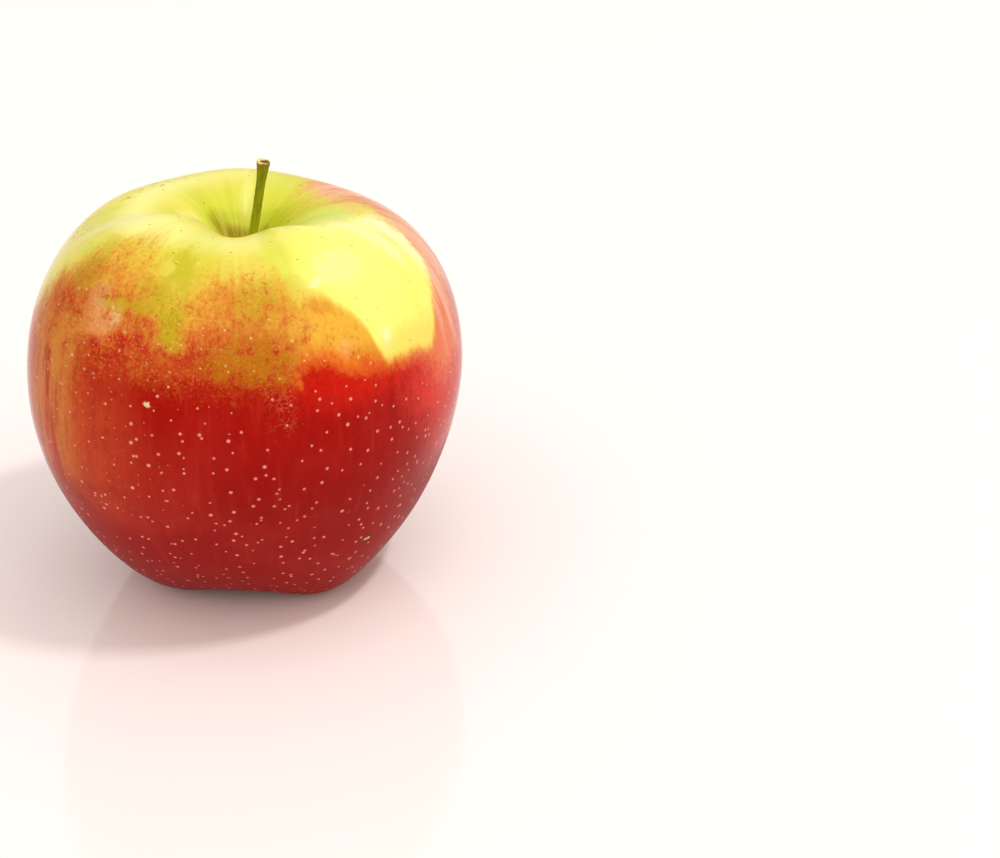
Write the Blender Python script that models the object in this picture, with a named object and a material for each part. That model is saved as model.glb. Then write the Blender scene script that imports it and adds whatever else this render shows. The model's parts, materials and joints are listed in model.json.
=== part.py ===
"""A ripe dessert apple with its stalk and dried eye, standing on its eye end.

Metres, +Z up. The origin lies under the middle of the apple's box, at the level it
stands on. Its two high front shoulders, with the groove between them, face -Y.
Run it with blender --background --python part.py, or from the text editor.
"""

import math

import bmesh
import bpy
from mathutils import Matrix, Vector

# The smooth outline of the fruit, from its axis outwards. Heights count from the
# foot, the ring that the outline stands on before the ribs are raised.
BELLY_RADIUS = 0.0386
BELLY_HEIGHT = 0.0356
CROWN_RADIUS = 0.0186
CROWN_HEIGHT = 0.0649
FOOT_RADIUS = 0.0172
BASIN_DEPTH = 0.0070
BASIN_FLOOR_RADIUS = 0.0046
CAVITY_DEPTH = 0.0146
CAVITY_FLOOR_RADIUS = 0.0016
THROAT_RADIUS = 0.0038

# How far the outline's curves run on straight before they bend, as shares
BASIN_ROUND = 0.45
FOOT_ROUND = 0.24
LOWER_FLANK_ROUND = 0.45
UPPER_FLANK_ROUND = 0.61
SHOULDER_ROUND = 0.56
CROWN_ROUND = 0.63
THROAT_DROP = 0.55

# Rings of the skin along each stretch of the outline, and the meridians round it
BASIN_RINGS = 8
LOWER_FLANK_RINGS = 13
UPPER_FLANK_RINGS = 12
CAVITY_RINGS = 12
MERIDIANS = 64

# The five ribs. A bearing is in degrees: 0 looks along -Y and +90 along +X. Each rib
# stands out by its own amount at the crown, belly and foot, and its foot is turned on
# from its bearing.
RIBS = (
    {"bearing": -41.4, "crown": 0.0052, "belly": 0.0018, "foot": 0.0028, "foot_turn": -9.5},
    {"bearing": 34.3, "crown": 0.0032, "belly": 0.0011, "foot": 0.0032, "foot_turn": 9.7},
    {"bearing": 119.5, "crown": -0.0001, "belly": 0.0017, "foot": 0.0031, "foot_turn": -22.9},
    {"bearing": 188.0, "crown": 0.0020, "belly": 0.0005, "foot": 0.0029, "foot_turn": 5.5},
    {"bearing": -115.8, "crown": 0.0020, "belly": -0.0010, "foot": 0.0029, "foot_turn": -6.6},
)
RIB_SHARPNESS = 6.4
FOOT_SHARPNESS = 9.1
CROWN_WINDOW_BELOW_BELLY = 0.006
OVAL_SWELL = 0.0014
OVAL_BEARING = -33.0
CROWN_SLOPE_X = 0.009
CROWN_SLOPE_Y = -0.018

# Clearance between one piece and the piece it sits against
SEAT_GAP = 0.0003

# The stalk leans to +X and straightens near its tip
STALK_LEAN_LOW = 0.0017
STALK_LEAN_HIGH = 0.0036
STALK_LEAN_TIP = 0.0047
STALK_RISE_LOW = 0.0086
STALK_RISE_HIGH = 0.0179
STALK_LENGTH_UP = 0.0253
STALK_BASE_RADIUS = 0.00125
STALK_RADIUS = 0.00083
STALK_TIP_RADIUS = 0.00118
STALK_BASE_SHARE = 0.16
STALK_TIP_SHARE = 0.22
STALK_FLARE_POWER = 1.5
STALK_SIDES = 12
STALK_RINGS = 16

# The dried eye in the basin: a cup, five sepals round it and a tuft of stamens in it
CUP_RADIUS = 0.0032
CUP_BORE = 0.0023
CUP_HEIGHT = 0.0018
CUP_ROOF = 0.0006
CUP_SIDES = 20
SEPAL_COUNT = 5
SEPAL_ROOT_RADIUS = 0.0040
SEPAL_WAIST_RADIUS = 0.0023
SEPAL_DROP = 0.0064
SEPAL_HOLD = 0.70
SEPAL_ROOT_WIDTH = 0.0040
SEPAL_WAIST_WIDTH = 0.0020
SEPAL_TIP_WIDTH = 0.0004
SEPAL_TAPER_POWER = 1.6
SEPAL_THICKNESS = 0.0005
SEPAL_CUPPING = 0.12
SEPAL_TIP_REACH = (0.0036, 0.0046, 0.0031, 0.0051, 0.0040)
SEPAL_FIRST_BEARING = 18.0
SEPAL_STATIONS = 9
TUFT_RADIUS = 0.0020
TUFT_BASE = 0.0006
TUFT_CORE_INSET = 0.0010
TUFT_LENGTH = 0.0026
TUFT_TAPER = 0.45
TUFT_SIDES = 12

SMOOTH_ANGLE = math.radians(50)
HEADING_STEP = 0.02


def clear_scene():
    for thing in list(bpy.data.objects):
        bpy.data.objects.remove(thing, do_unlink=True)


def principled(name, colour, roughness, metallic=0.0):
    """A material with one Principled BSDF of the given finish."""
    material = bpy.data.materials.new(name)
    material.use_nodes = True
    shader = material.node_tree.nodes["Principled BSDF"]
    shader.inputs["Base Color"].default_value = (*colour, 1.0)
    shader.inputs["Roughness"].default_value = roughness
    shader.inputs["Metallic"].default_value = metallic
    return material


def place_piece(name, bm, material, parent):
    """Turn the bmesh into a named object with smooth round sides, under its parent."""
    bmesh.ops.recalc_face_normals(bm, faces=bm.faces)
    mesh = bpy.data.meshes.new(name)
    bm.to_mesh(mesh)
    bm.free()
    mesh.shade_smooth()
    mesh.set_sharp_from_angle(angle=SMOOTH_ANGLE)
    mesh.materials.append(material)
    piece = bpy.data.objects.new(name, mesh)
    bpy.context.collection.objects.link(piece)
    piece.parent = parent
    return piece


def cubic(p0, p1, p2, p3, t):
    """A point on the cubic curve from p0 to p3 with handles p1 and p2."""
    s = 1.0 - t
    return p0 * s**3 + p1 * (3 * s * s * t) + p2 * (3 * s * t * t) + p3 * t**3


def heading(path, t):
    """The direction in which a cubic path runs on at t."""
    behind = cubic(*path, max(t - HEADING_STEP, 0.0))
    ahead = cubic(*path, min(t + HEADING_STEP, 1.0))
    return (ahead - behind).normalized()


def blend(low, high, share):
    return low + (high - low) * share


def outline_curves():
    """The outline's four curves as (radius, height) handles, basin floor to cavity floor."""
    basin = Vector((BASIN_FLOOR_RADIUS, BASIN_DEPTH))
    basin_reach = FOOT_RADIUS * BASIN_ROUND
    foot = Vector((FOOT_RADIUS, 0.0))
    belly = Vector((BELLY_RADIUS, BELLY_HEIGHT))
    crown = Vector((CROWN_RADIUS, CROWN_HEIGHT))
    cavity = Vector((CAVITY_FLOOR_RADIUS, CROWN_HEIGHT - CAVITY_DEPTH))
    into_basin = (
        basin,
        Vector((basin_reach, BASIN_DEPTH)),
        Vector((basin_reach, 0.0)),
        foot,
    )
    lower_flank = (
        foot,
        Vector((blend(FOOT_RADIUS, BELLY_RADIUS, FOOT_ROUND), 0.0)),
        Vector((BELLY_RADIUS, BELLY_HEIGHT * (1 - LOWER_FLANK_ROUND))),
        belly,
    )
    upper_flank = (
        belly,
        Vector((BELLY_RADIUS, blend(BELLY_HEIGHT, CROWN_HEIGHT, UPPER_FLANK_ROUND))),
        Vector((blend(CROWN_RADIUS, BELLY_RADIUS, SHOULDER_ROUND), CROWN_HEIGHT)),
        crown,
    )
    into_cavity = (
        crown,
        Vector((CROWN_RADIUS * (1 - CROWN_ROUND), CROWN_HEIGHT)),
        Vector((THROAT_RADIUS, CROWN_HEIGHT - CAVITY_DEPTH * THROAT_DROP)),
        cavity,
    )
    return into_basin, lower_flank, upper_flank, into_cavity


def outline_points():
    """Points along the whole outline, and where its foot, belly and crown fall."""
    counts = (BASIN_RINGS, LOWER_FLANK_RINGS, UPPER_FLANK_RINGS, CAVITY_RINGS)
    curves = outline_curves()
    points = [
        cubic(*curve, step / count)
        for curve, count in zip(curves, counts)
        for step in range(count)
    ]
    points.append(curves[-1][-1])
    foot = BASIN_RINGS
    belly = foot + LOWER_FLANK_RINGS
    crown = belly + UPPER_FLANK_RINGS
    return points, foot, belly, crown


def hump(place, low, middle, high):
    """A soft window along the outline: 1 at the middle, falling to 0 at both ends."""
    span = middle - low if place < middle else high - middle
    share = min(abs(place - middle) / span, 1.0)
    return 0.5 + 0.5 * math.cos(math.pi * share)


def outline_stations():
    """Each outline point with its outward normal and its share of crown, belly, foot."""
    points, foot, belly, crown = outline_points()
    run = [0.0]
    for before, after in zip(points, points[1:]):
        run.append(run[-1] + (after - before).length)
    stations = []
    for i, point in enumerate(points):
        along = points[min(i + 1, len(points) - 1)] - points[max(i - 1, 0)]
        normal = Vector((along.y, -along.x)).normalized()
        crown_start = run[belly] - CROWN_WINDOW_BELOW_BELLY
        shares = {
            "crown": hump(run[i], crown_start, run[crown], run[-1]),
            "belly": hump(run[i], run[foot], run[belly], run[crown]),
            "foot": hump(run[i], 0.0, run[foot], run[belly]),
        }
        stations.append((point, normal, shares))
    return stations


def lobe(bearing, middle, sharpness):
    """How strongly a rib at the middle bearing is felt at this bearing."""
    return math.exp(sharpness * (math.cos(bearing - math.radians(middle)) - 1))


def rib_height(bearing, shares):
    """How far the ribs and the oval swell push the skin out at this bearing."""
    height = OVAL_SWELL * math.cos(2 * (bearing - math.radians(OVAL_BEARING)))
    height *= shares["belly"]
    for rib in RIBS:
        body = lobe(bearing, rib["bearing"], RIB_SHARPNESS)
        foot = lobe(bearing, rib["bearing"] + rib["foot_turn"], FOOT_SHARPNESS)
        height += body * (rib["crown"] * shares["crown"] + rib["belly"] * shares["belly"])
        height += foot * rib["foot"] * shares["foot"]
    return height


def skin_point(station, bearing):
    point, normal, shares = station
    spot = point + normal * rib_height(bearing, shares)
    x = spot.x * math.sin(bearing)
    y = -spot.x * math.cos(bearing)
    share_up = min(max(spot.y / CROWN_HEIGHT, 0.0), 1.0)
    return Vector((x, y, spot.y + (CROWN_SLOPE_X * x + CROWN_SLOPE_Y * y) * share_up))


def bridge_rings(bm, rings):
    """Quads between each ring of vertices and the next."""
    for lower, upper in zip(rings, rings[1:]):
        for i in range(len(lower)):
            j = (i + 1) % len(lower)
            bm.faces.new((lower[i], lower[j], upper[j], upper[i]))


def make_fruit(parent):
    """The flesh and skin as one body, ribbed, with its basin and its stalk cavity."""
    bm = bmesh.new()
    rings = []
    for station in outline_stations():
        ring = []
        for step in range(MERIDIANS):
            bearing = 2 * math.pi * step / MERIDIANS
            ring.append(bm.verts.new(skin_point(station, bearing)))
        rings.append(ring)
    bridge_rings(bm, rings)
    bm.faces.new(rings[0])
    bm.faces.new(rings[-1])
    return place_piece("fruit", bm, principled("apple_skin", (0.56, 0.07, 0.03), 0.3), parent)


def stalk_radius(share):
    """The stalk's radius along its length: a swollen base and a flared tip."""
    near_base = max(1 - share / STALK_BASE_SHARE, 0.0)
    near_tip = max(1 - (1 - share) / STALK_TIP_SHARE, 0.0)
    radius = STALK_RADIUS
    radius += (STALK_BASE_RADIUS - STALK_RADIUS) * near_base**STALK_FLARE_POWER
    radius += (STALK_TIP_RADIUS - STALK_RADIUS) * near_tip**STALK_FLARE_POWER
    return radius


def make_stalk(parent):
    """The woody stalk, from just clear of the cavity floor to its broken-off tip."""
    foot = CROWN_HEIGHT - CAVITY_DEPTH + SEAT_GAP
    path = (
        Vector((0.0, 0.0, foot)),
        Vector((STALK_LEAN_LOW, 0.0, foot + STALK_RISE_LOW)),
        Vector((STALK_LEAN_HIGH, 0.0, foot + STALK_RISE_HIGH)),
        Vector((STALK_LEAN_TIP, 0.0, foot + STALK_LENGTH_UP)),
    )
    bm = bmesh.new()
    rings = []
    for ring in range(STALK_RINGS + 1):
        share = ring / STALK_RINGS
        middle = cubic(*path, share)
        ahead = heading(path, share)
        tilt = math.atan2(ahead.x, ahead.z) if ring else 0.0
        turn = Matrix.Rotation(tilt, 3, "Y")
        radius = stalk_radius(share)
        verts = []
        for side in range(STALK_SIDES):
            angle = 2 * math.pi * side / STALK_SIDES
            offset = Vector((radius * math.cos(angle), radius * math.sin(angle), 0.0))
            verts.append(bm.verts.new(middle + turn @ offset))
        rings.append(verts)
    bridge_rings(bm, rings)
    bm.faces.new(rings[0])
    bm.faces.new(rings[-1])
    return place_piece("stalk", bm, principled("stalk_wood", (0.22, 0.24, 0.02), 0.6), parent)


def make_calyx_cup(parent, material):
    """The dry cup of the eye, roofed against the flesh and open underneath."""
    top = BASIN_DEPTH - SEAT_GAP
    wall = (
        (CUP_RADIUS, top),
        (CUP_RADIUS, top - CUP_HEIGHT),
        (CUP_BORE, top - CUP_HEIGHT),
        (CUP_BORE, top - CUP_ROOF),
    )
    bm = bmesh.new()
    rings = []
    for radius, height in wall:
        circle = bmesh.ops.create_circle(bm, segments=CUP_SIDES, radius=radius)
        for vert in circle["verts"]:
            vert.co.z = height
        rings.append(circle["verts"])
    bridge_rings(bm, rings)
    bm.faces.new(rings[0])
    bm.faces.new(rings[-1])
    return place_piece("calyx_cup", bm, material, parent)


def sepal_width(share):
    """A sepal narrows quickly from its root to its waist, then slowly to a point."""
    if share < 0.5:
        return blend(SEPAL_ROOT_WIDTH, SEPAL_WAIST_WIDTH, math.sin(math.pi * share))
    return blend(SEPAL_WAIST_WIDTH, SEPAL_TIP_WIDTH, (2 * share - 1) ** SEPAL_TAPER_POWER)


def make_sepal(number, parent, material):
    """One dried sepal: down from beside the cup, in over the eye, and out at its tip."""
    root = BASIN_DEPTH - SEAT_GAP
    tip_reach = SEPAL_TIP_REACH[number - 1]
    path = (
        Vector((SEPAL_ROOT_RADIUS, root)),
        Vector((SEPAL_ROOT_RADIUS, root - SEPAL_HOLD * SEPAL_DROP)),
        Vector((2 * SEPAL_WAIST_RADIUS - SEPAL_ROOT_RADIUS, root - SEPAL_HOLD * SEPAL_DROP)),
        Vector((tip_reach, root - SEPAL_DROP)),
    )
    bm = bmesh.new()
    rings = []
    for step in range(SEPAL_STATIONS):
        share = step / (SEPAL_STATIONS - 1)
        middle = cubic(*path, share)
        along = heading(path, share)
        out = Vector((-along.y, along.x))
        half = sepal_width(share) / 2
        ring = []
        for side, face in ((-1, 1), (0, 1), (1, 1), (1, -1), (0, -1), (-1, -1)):
            lift = face * SEPAL_THICKNESS / 2 - abs(side) * half * 2 * SEPAL_CUPPING
            spot = middle + out * lift
            ring.append(bm.verts.new((side * half, -spot.x, spot.y)))
        rings.append(ring)
    bridge_rings(bm, rings)
    bm.faces.new(rings[0])
    bm.faces.new(rings[-1])
    bearing = SEPAL_FIRST_BEARING + 360 / SEPAL_COUNT * (number - 1)
    bmesh.ops.rotate(
        bm, cent=(0, 0, 0), matrix=Matrix.Rotation(math.radians(bearing), 3, "Z"), verts=bm.verts
    )
    return place_piece(f"sepal_{number}", bm, material, parent)


def make_stamen_tuft(parent):
    """The tuft of dry stamens: a small disc in the cup's bore with prongs below it."""
    top = BASIN_DEPTH - SEAT_GAP - CUP_ROOF - SEAT_GAP
    bm = bmesh.new()
    bmesh.ops.create_cone(
        bm,
        cap_ends=True,
        segments=TUFT_SIDES,
        radius1=TUFT_RADIUS,
        radius2=TUFT_RADIUS,
        depth=TUFT_BASE,
        matrix=Matrix.Translation((0, 0, top - TUFT_BASE / 2)),
    )
    underside = [face for face in bm.faces if face.normal.z < -0.9]
    rim = bmesh.ops.inset_region(bm, faces=underside, thickness=TUFT_CORE_INSET)["faces"]
    rim.sort(key=lambda face: math.atan2(face.calc_center_median().y, face.calc_center_median().x))
    prongs = bmesh.ops.extrude_discrete_faces(bm, faces=rim[::2] + underside)["faces"]
    for prong in prongs:
        middle = prong.calc_center_median()
        bmesh.ops.scale(
            bm,
            vec=(TUFT_TAPER, TUFT_TAPER, 1),
            space=Matrix.Translation(-middle),
            verts=prong.verts,
        )
        bmesh.ops.translate(bm, vec=(0, 0, -TUFT_LENGTH), verts=prong.verts)
    return place_piece(
        "stamen_tuft", bm, principled("dry_stamens", (0.10, 0.06, 0.03), 0.9), parent
    )


def centre_on_floor(parent, pieces):
    """Move the parent so that the whole apple's box stands centred on the origin."""
    corners = [vert.co for piece in pieces for vert in piece.data.vertices]
    middle_x = (min(c.x for c in corners) + max(c.x for c in corners)) / 2
    middle_y = (min(c.y for c in corners) + max(c.y for c in corners)) / 2
    lowest = min(c.z for c in corners)
    parent.location = (-middle_x, -middle_y, -lowest)
    bpy.context.view_layer.update()


def build_apple():
    clear_scene()
    apple = bpy.data.objects.new("apple", None)
    bpy.context.collection.objects.link(apple)
    dry_leaf = principled("dry_calyx", (0.20, 0.12, 0.05), 0.85)
    pieces = [make_fruit(apple), make_stalk(apple), make_calyx_cup(apple, dry_leaf)]
    for number in range(1, SEPAL_COUNT + 1):
        pieces.append(make_sepal(number, apple, dry_leaf))
    pieces.append(make_stamen_tuft(apple))
    centre_on_floor(apple, pieces)


build_apple()
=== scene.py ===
"""The looks of a ripe red and yellow apple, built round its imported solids.

Metres, +Z up, in the solids' own frame. The skin, the stalk and the dried eye are
modelled here and take the place of the plain solids. The camera stands in front and
above, and the apple stands on a white glossy table.
"""

import json
import math

import bpy
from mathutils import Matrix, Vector
from mathutils.geometry import interpolate_bezier

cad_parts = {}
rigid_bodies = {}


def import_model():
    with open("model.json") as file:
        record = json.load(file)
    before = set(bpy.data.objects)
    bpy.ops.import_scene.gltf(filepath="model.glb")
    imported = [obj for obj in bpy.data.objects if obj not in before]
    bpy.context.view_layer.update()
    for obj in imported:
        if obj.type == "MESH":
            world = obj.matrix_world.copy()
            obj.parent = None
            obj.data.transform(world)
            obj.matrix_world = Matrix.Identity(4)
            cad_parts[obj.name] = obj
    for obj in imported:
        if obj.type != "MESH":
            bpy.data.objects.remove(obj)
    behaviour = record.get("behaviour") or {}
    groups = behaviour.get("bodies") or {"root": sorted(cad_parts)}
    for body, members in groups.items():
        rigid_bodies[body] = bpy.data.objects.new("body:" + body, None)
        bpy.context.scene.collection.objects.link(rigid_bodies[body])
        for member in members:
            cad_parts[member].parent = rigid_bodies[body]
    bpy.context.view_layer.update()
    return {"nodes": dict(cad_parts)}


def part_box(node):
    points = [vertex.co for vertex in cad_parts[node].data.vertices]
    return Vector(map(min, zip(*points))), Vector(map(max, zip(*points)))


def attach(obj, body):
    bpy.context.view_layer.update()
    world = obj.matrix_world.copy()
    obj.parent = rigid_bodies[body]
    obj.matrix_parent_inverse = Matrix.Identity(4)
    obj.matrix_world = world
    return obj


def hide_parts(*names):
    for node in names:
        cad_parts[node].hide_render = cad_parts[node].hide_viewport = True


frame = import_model()

MM = 0.001

# The core's axis, read from the dry cup that grows on it
CUP_LOW, CUP_HIGH = (Vector(corner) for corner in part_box("calyx_cup"))
CORE = (CUP_LOW + CUP_HIGH) / 2

# The stalk: its middle line rises from a foot sunk in the flesh and leans to +X; then how far
# it leans for its height, its radius at the foot, along its length and at the tip, and the
# shares of it that swell
STALK_FOOT = Vector((CORE.x, CORE.y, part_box("stalk")[0][2]))
STALK_LINE = (
    Vector((-0.1, 0.0, -0.6)) * MM,
    Vector((1.7, 0.0, 8.6)) * MM,
    Vector((3.6, 0.0, 17.9)) * MM,
    Vector((4.66, 0.0, 25.0)) * MM,
)
STALK_LEAN = 0.19
STALK_FOOT_RADIUS = 1.25 * MM
STALK_RADIUS = 0.80 * MM
STALK_TIP_RADIUS = 1.28 * MM
STALK_FOOT_SHARE = 0.16
STALK_TIP_SHARE = 0.20
STALK_SIDES = 24
STALK_RINGS = 26
STALK_GROOVE = 0.90

# The eye: the cup's wall and roof, and how far its root reaches up into the flesh
CUP_WALL = 0.8 * MM
CUP_ROOF = 1.0 * MM
ROOT_DEPTH = 0.4 * MM

# A sepal's middle line on the +X side, from the core's foot; its widths; the bearings of the
# five, and how much further out than the line each tip reaches
SEPAL_LINE = (
    Vector((4.0, 0.0, 10.0)) * MM,
    Vector((4.0, 0.0, 5.5)) * MM,
    Vector((0.6, 0.0, 5.5)) * MM,
    Vector((4.1, 0.0, 3.7)) * MM,
)
SEPAL_STEPS = 14
SEPAL_ROOT_WIDTH = 4.0 * MM
SEPAL_WAIST_WIDTH = 2.2 * MM
SEPAL_TIP_WIDTH = 0.4 * MM
SEPAL_THICKNESS = 0.26 * MM
SEPAL_CUPPING = 0.30 * MM
SEPAL_FIRST_BEARING = 18.0
SEPAL_TIP_SHIFTS = (-0.5 * MM, 0.5 * MM, -1.0 * MM, 0.8 * MM, 0.0)

# The stamens: threads on a small disc inside the cup
STAMEN_DISC_RADIUS = 2.0 * MM
STAMEN_COUNT = 17
STAMEN_RADIUS = 0.15 * MM
STAMEN_STEPS = (0.8 * MM, 0.8 * MM, 0.6 * MM)
STAMEN_HEAD = 0.5 * MM
GOLDEN_ANGLE = math.radians(137.5)

# The camera: where it stands, how far it looks down, and its focal length
CAMERA_PLACE = (0.0454, -0.4057, 0.2247)
CAMERA_PITCH = 26.0
CAMERA_FOCAL = 88.45
CAMERA_SENSOR = 36.0

# The studio: how bright the sky is at its edge and overhead, and how much it gains towards
# the front and low at the back; then the lamps, each with the direction that it stands in,
# its two widths in metres and its power in watts
SKY_EDGE = 0.33
SKY_TOP = 0.76
SKY_FRONT = 0.82
SKY_BACK = 0.60
LAMP_TARGET = Vector((0.0, 0.0, 0.04))
LAMP_DISTANCE = 2.0
LAMPS = (
    ("right lamp", (0.46, -0.13, 0.88), (0.30, 0.14), 12.2),
    ("low right lamp", (0.99, 0.12, 0.02), (0.04, 0.08), 1.5),
    ("top lamp", (0.10, -0.10, 1.00), (0.90, 0.90), 1.6),
)

# The fruit's widest level: its height above the table and its reach from the core, in
# millimetres, as the skin's pattern needs them. The climb is the height plus a share of the
# way inward from that reach, counted the other way below that level; the change is soft.
BELLY_HEIGHT = 38.9
BELLY_REACH = 38.6
INWARD_SHARE = 0.6
BELLY_SOFTNESS = 6.0

# How much a pattern is shortened so that it runs in streaks: up the skin, down the stalk
# cavity, and in short strokes
MERIDIAN_SHRINK = 0.13
RAY_SHRINK = 0.25
STROKE_SHRINK = 0.45

# How high the blush reaches round the core, and how high its solid red reaches. Bearing 0
# looks along -Y and +90 along +X. The second value is the climb: millimetres up the skin,
# about 39 at the belly and 80 on the crown.
BLUSH_TOP = (
    (-180, 72), (-150, 66), (-120, 62), (-90, 57), (-74, 59), (-66, 63.5), (-61, 66.5), (-54, 71),
    (-47, 75), (-42, 77.4), (-34, 80.2), (-28, 79.5), (-23, 76.5), (-19, 73),
    (-16, 70), (-13, 71), (-10, 73.5), (-6, 75), (-1, 75.5), (8, 75.5), (15, 75), (20, 71.5),
    (24, 69.5), (29, 69.6), (33, 67.4), (37, 64.5), (40, 61.5), (42, 58.6), (43.4, 55.8),
    (44.8, 53.6), (46.5, 52.6), (50, 52.8), (58, 52.6), (66, 51), (69, 52.4), (73, 56), (77, 59.5),
    (82, 62), (86, 66.5), (90, 71.5), (95, 74), (101, 75), (107, 76.3), (112, 77.5), (116, 80),
    (122, 81), (135, 80.8), (146, 79.5), (156, 76), (180, 72),
)
RED_TOP = (
    (-180, 60), (-120, 56), (-80, 54), (-60, 51), (-48, 49), (-40, 51.5), (-30, 53.5), (-20, 54),
    (-10, 53), (0, 52.8), (10, 52.5), (16, 52), (20, 55.5), (25, 56.6), (30, 54.8), (35, 53.2),
    (40, 52.4), (44, 52), (52, 51.6), (60, 50.8), (70, 47.5), (78, 46), (86, 50), (96, 56),
    (120, 60), (150, 60), (180, 60),
)
CLIMB_SPAN = (45.0, 85.0)


def rgb(red, green, blue):
    """A colour given as it looks on screen, from 0 to 255, made linear."""
    linear = [
        part / 255 / 12.92 if part <= 10 else ((part / 255 + 0.055) / 1.055) ** 2.4
        for part in (red, green, blue)
    ]
    return (*linear, 1.0)


# The sky's colour low down
HORIZON = rgb(255, 240, 222)


class Brush:
    """Adds nodes to one node tree. A source is a socket, a number, a vector or a colour."""

    def __init__(self, tree):
        self.tree = tree

    def node(self, kind, **settings):
        node = self.tree.nodes.new(kind)
        for name, value in settings.items():
            setattr(node, name, value)
        return node

    def feed(self, target, source):
        if isinstance(source, bpy.types.NodeSocket):
            self.tree.links.new(source, target)
        elif source is not None:
            target.default_value = source

    def calc(self, operation, *sources):
        node = self.node("ShaderNodeMath", operation=operation)
        for target, source in zip(node.inputs, sources):
            self.feed(target, source)
        return node.outputs[0]

    def plus(self, first, *others):
        for other in others:
            first = self.calc("ADD", first, other)
        return first

    def minus(self, first, second):
        return self.calc("SUBTRACT", first, second)

    def times(self, first, *others):
        for other in others:
            first = self.calc("MULTIPLY", first, other)
        return first

    def line(self, value, slope, start):
        return self.calc("MULTIPLY_ADD", value, slope, start)

    def swing(self, noise, width):
        """Noise about 0.5 made to swing about 0."""
        return self.times(self.minus(noise, 0.5), width)

    def vector(self, operation, first, second=None, scale=None):
        node = self.node("ShaderNodeVectorMath", operation=operation)
        self.feed(node.inputs[0], first)
        self.feed(node.inputs[1], second)
        if scale is not None:
            self.feed(node.inputs["Scale"], scale)
        return node.outputs["Value" if operation in ("LENGTH", "DOT_PRODUCT") else "Vector"]

    def join(self, x, y, z):
        node = self.node("ShaderNodeCombineXYZ")
        for target, source in zip(node.inputs, (x, y, z)):
            self.feed(target, source)
        return node.outputs[0]

    def parts(self, source):
        node = self.node("ShaderNodeSeparateXYZ")
        self.feed(node.inputs[0], source)
        return node.outputs

    def rise(self, value, start, end):
        """A smooth step: 0 at start, 1 at end."""
        node = self.node("ShaderNodeMapRange", interpolation_type="SMOOTHSTEP")
        self.feed(node.inputs["Value"], value)
        self.feed(node.inputs["From Min"], start)
        self.feed(node.inputs["From Max"], end)
        return node.outputs["Result"]

    def mix(self, share, low, high):
        node = self.node("ShaderNodeMix", data_type="RGBA")
        self.feed(node.inputs["Factor"], share)
        self.feed(node.inputs["A"], low)
        self.feed(node.inputs["B"], high)
        return node.outputs["Result"]

    def ramp(self, value, stops):
        """Colours blended in order; each stop is a value from 0 to 1 and a colour."""
        node = self.node("ShaderNodeValToRGB")
        spots = node.color_ramp.elements
        while len(spots) < len(stops):
            spots.new(1.0)
        for spot, (position, colour) in zip(spots, stops):
            spot.position = position
            spot.color = colour
        self.feed(node.inputs["Fac"], value)
        return node.outputs["Color"]

    def clouds(self, place, size, detail=2.0, roughness=0.5):
        """Soft noise about 0.5; size is the width of one cloud in the place's own units."""
        node = self.node("ShaderNodeTexNoise")
        self.feed(node.inputs["Vector"], place)
        node.inputs["Scale"].default_value = 1.0 / size
        node.inputs["Detail"].default_value = detail
        node.inputs["Roughness"].default_value = roughness
        return node.outputs["Fac"]

    def round_curve(self, bearing, points, low, high):
        """A smooth value that changes round the core; points are (bearing, value)."""
        node = self.node("ShaderNodeFloatCurve")
        curve = node.mapping.curves[0]
        while len(curve.points) < len(points):
            curve.points.new(0.5, 0.5)
        for point, (angle, value) in zip(curve.points, points):
            point.location = ((angle + 180) / 360, (value - low) / (high - low))
        node.mapping.update()
        self.feed(node.inputs["Value"], self.line(bearing, 1 / 360, 0.5))
        return self.line(node.outputs["Value"], high - low, low)

    def group(self, tree, **sources):
        """Place a node group; each source goes to the input of its name."""
        node = self.node("ShaderNodeGroup", node_tree=tree)
        for name, source in sources.items():
            self.feed(node.inputs[name], source)
        return node.outputs

    def place(self, shift=(0.0, 0.0, 0.0), stretch=(1.0, 1.0, 1.0)):
        """Object coordinates in millimetres from a point, stretched."""
        coords = self.node("ShaderNodeTexCoord")
        mapping = self.node("ShaderNodeMapping")
        mapping.inputs["Location"].default_value = [
            -part * factor / MM for part, factor in zip(shift, stretch)
        ]
        mapping.inputs["Scale"].default_value = [factor / MM for factor in stretch]
        self.feed(mapping.inputs["Vector"], coords.outputs["Object"])
        return mapping.outputs["Vector"]

    def bump(self, height, depth, target):
        """Relief in the normal; depth is in millimetres."""
        node = self.node("ShaderNodeBump")
        node.inputs["Distance"].default_value = depth * MM
        self.feed(node.inputs["Height"], height)
        self.feed(target, node.outputs["Normal"])


def new_group(name, inputs, outputs):
    """An empty node group with named float inputs (or a vector where the value is None)."""
    tree = bpy.data.node_groups.new(name, "ShaderNodeTree")
    for label, value in inputs.items():
        kind = "NodeSocketVector" if value is None else "NodeSocketFloat"
        socket = tree.interface.new_socket(name=label, in_out="INPUT", socket_type=kind)
        if value is not None:
            socket.default_value = value
    for label in outputs:
        tree.interface.new_socket(name=label, in_out="OUTPUT", socket_type="NodeSocketFloat")
    brush = Brush(tree)
    source = brush.node("NodeGroupInput").outputs
    sink = brush.node("NodeGroupOutput").inputs
    return brush, source, sink


def new_material(name):
    material = bpy.data.materials.new(name)
    material.use_nodes = True
    tree = material.node_tree
    return material, Brush(tree), tree.nodes["Principled BSDF"].inputs


# Effects that the materials share


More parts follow.
